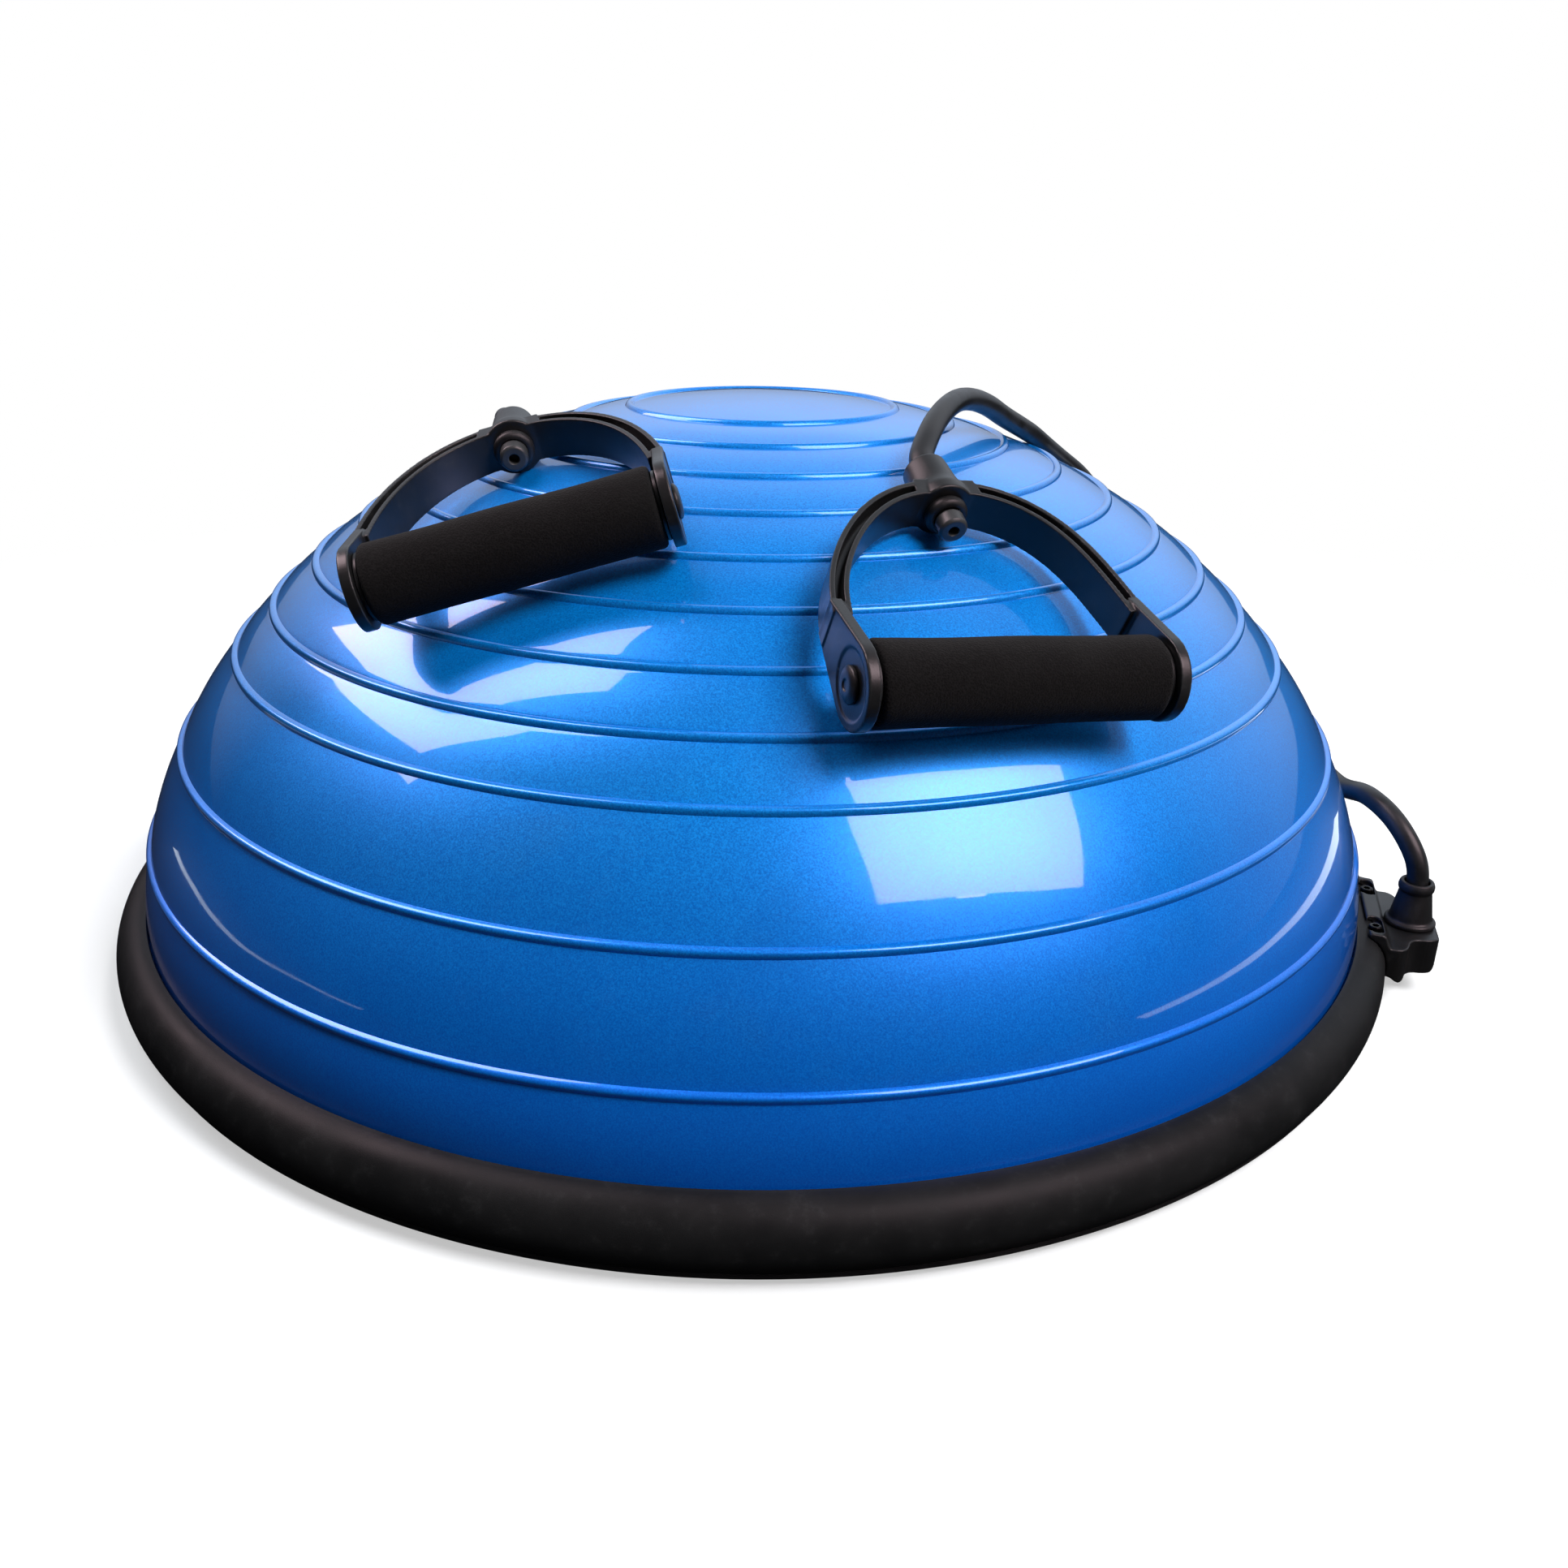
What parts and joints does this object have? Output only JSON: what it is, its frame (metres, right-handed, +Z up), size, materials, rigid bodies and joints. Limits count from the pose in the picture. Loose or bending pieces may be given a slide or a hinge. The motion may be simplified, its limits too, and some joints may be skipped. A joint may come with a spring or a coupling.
{
  "type": "balance dome trainer",
  "caption": "Inflated half-ball on a flat rimmed base, with two anchored resistance tubes ending in D-shaped foam-grip handles, for balance and strength exercise.",
  "frame": {"origin": "centre of the plane the feet rest on, on the dome's axis", "axes": "+Z up along the dome's axis, +X through the right-hand tube anchor, both handles on the -Y side"},
  "size_m": [0.655, 0.61, 0.261],
  "materials": {
    "blue_vinyl": "glossy pearl vinyl with moulded rings",
    "black_moulding": "fine-grained satin moulding",
    "black_rubber": "matt moulded rubber",
    "tube_rubber": "smooth latex with a soft sheen",
    "black_foam": "closed-cell foam, matt",
    "grey_plastic": "dark satin moulding",
    "steel": "zinc-plated screws"
  },
  "bodies": {
    "base": {"dome_bladder": "blue_vinyl", "retaining_ring": "black_moulding", "base_platform": "black_moulding", "valve_seat": "black_rubber", "rim_screw_1": "steel", "rim_screw_2": "steel", "rim_screw_3": "steel", "rim_screw_4": "steel", "rim_screw_5": "steel", "rim_screw_6": "steel", "rim_screw_7": "steel", "rim_screw_8": "steel", "foot_pad_1": "black_rubber", "foot_pad_2": "black_rubber", "foot_pad_3": "black_rubber", "foot_pad_4": "black_rubber", "foot_pad_5": "black_rubber", "foot_pad_6": "black_rubber", "anchor_bracket_right": "black_moulding", "anchor_sleeve_right": "black_rubber", "anchor_stopper_right": "grey_plastic", "anchor_screw_right_1": "steel", "anchor_screw_right_2": "steel", "anchor_bracket_left": "black_moulding", "anchor_sleeve_left": "black_rubber", "anchor_stopper_left": "grey_plastic", "anchor_screw_left_1": "steel", "anchor_screw_left_2": "steel"},
    "air_plug": {"air_plug": "grey_plastic"},
    "tube_right": {"resistance_tube_right": "tube_rubber"},
    "handle_right": {"handle_yoke_right": "black_moulding", "pivot_pin_right_1": "black_moulding", "pivot_pin_right_2": "black_moulding", "stop_ring_right": "black_rubber", "tube_stopper_right": "grey_plastic"},
    "grip_right": {"foam_grip_right": "black_foam", "grip_core_right": "grey_plastic", "grip_bush_right_1": "grey_plastic", "grip_bush_right_2": "grey_plastic"},
    "tube_left": {"resistance_tube_left": "tube_rubber"},
    "handle_left": {"handle_yoke_left": "black_moulding", "pivot_pin_left_1": "black_moulding", "pivot_pin_left_2": "black_moulding", "stop_ring_left": "black_rubber", "tube_stopper_left": "grey_plastic"},
    "grip_left": {"foam_grip_left": "black_foam", "grip_core_left": "grey_plastic", "grip_bush_left_1": "grey_plastic", "grip_bush_left_2": "grey_plastic"}
  },
  "joints": [
    {"name": "plug_pull", "type": "slide", "parent": "base", "child": "air_plug", "axis": [0, 0, -1], "range_m": [0, 0.026]},
    {"name": "right_lift", "type": "slide", "parent": "base", "child": "tube_right", "axis": [0, 0, 1], "range_m": [0, 0.12], "deforming": ["resistance_tube_right"]},
    {"name": "right_tilt", "type": "hinge", "parent": "tube_right", "child": "handle_right", "pos_m": [0.09368, -0.09922, 0.22755], "axis": [-0.8191, -0.5697, 0.0673], "range_deg": [0, 40]},
    {"name": "right_grip_spin", "type": "hinge", "parent": "handle_right", "child": "grip_right", "pos_m": [0.14295, -0.18506, 0.18489], "axis": [0.8191, 0.5697, -0.0673], "continuous": true},
    {"name": "left_lift", "type": "slide", "parent": "base", "child": "tube_left", "axis": [0, 0, 1], "range_m": [0, 0.12], "deforming": ["resistance_tube_left"]},
    {"name": "left_tilt", "type": "hinge", "parent": "tube_left", "child": "handle_left", "pos_m": [-0.08285, -0.08769, 0.23348], "axis": [-0.9006, -0.3445, -0.2651], "range_deg": [0, 40]},
    {"name": "left_grip_spin", "type": "hinge", "parent": "handle_left", "child": "grip_left", "pos_m": [-0.03725, -0.18647, 0.2169], "axis": [0.9006, 0.3445, 0.2651], "continuous": true}
  ]
}
